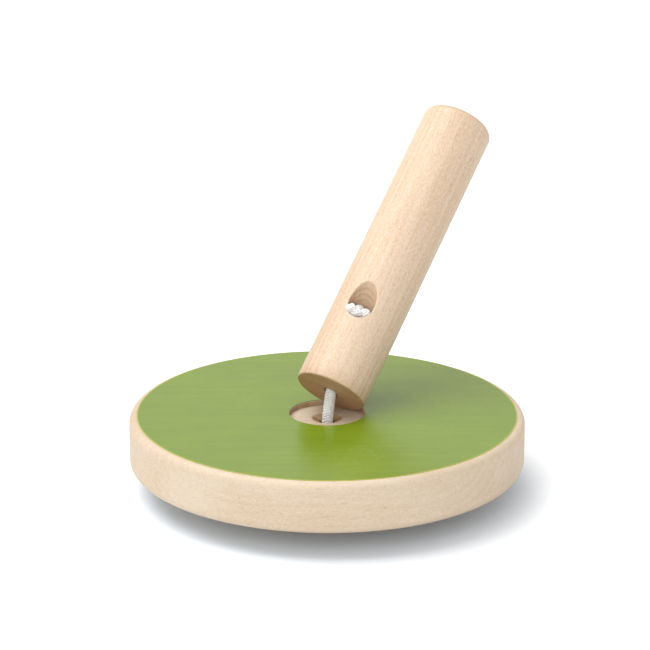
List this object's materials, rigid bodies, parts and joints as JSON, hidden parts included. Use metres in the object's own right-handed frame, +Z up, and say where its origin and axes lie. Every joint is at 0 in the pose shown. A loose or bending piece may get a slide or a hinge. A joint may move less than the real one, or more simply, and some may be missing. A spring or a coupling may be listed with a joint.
{
  "type": "spinning top",
  "caption": "Wooden spinning top: a painted round disc on a turned foot, with a dowel grip tied to its centre by a knotted cord, leaning on the rim of its recess.",
  "frame": {"origin": "on the disc's axis, at the flat face that the foot stands on", "axes": "+Z up along the disc's axis, +X the way the grip leans"},
  "size_m": [0.139, 0.12, 0.1064],
  "materials": {
    "disc_wood": "fine sanded pale hardwood, clear matt oil",
    "green_paint": "satin green water-based paint on wood",
    "foot_wood": "turned pale hardwood, clear matt oil",
    "grip_wood": "sanded pale hardwood dowel, clear matt oil",
    "cord": "white round braided cotton cord"
  },
  "bodies": {
    "disc": {"wooden_disc": "disc_wood", "painted_face": "green_paint", "spinning_foot": "foot_wood"},
    "cord": {"cord": "cord"},
    "grip": {"grip": "grip_wood", "upper_knot": "cord"},
    "lower_knot": {"lower_knot": "cord"}
  },
  "joints": [
    {"name": "cord_swivel", "type": "hinge", "parent": "disc", "child": "cord", "pos_m": [0, 0, 0.0224], "axis": [0, 0, 1], "continuous": true},
    {"name": "grip_lean", "type": "hinge", "parent": "cord", "child": "grip", "pos_m": [0.01002, 0, 0.0243], "axis": [0, 1, 0], "range_deg": [-45.5, 0], "deforming": ["cord"]},
    {"name": "knot_drop", "type": "slide", "parent": "disc", "child": "lower_knot", "axis": [0, 0, 1], "range_m": [-0.00786, 0]}
  ],
  "couplings": [
    {"joint": "knot_drop", "follows": "grip_lean", "m_per_rad": 0.0098992}
  ]
}
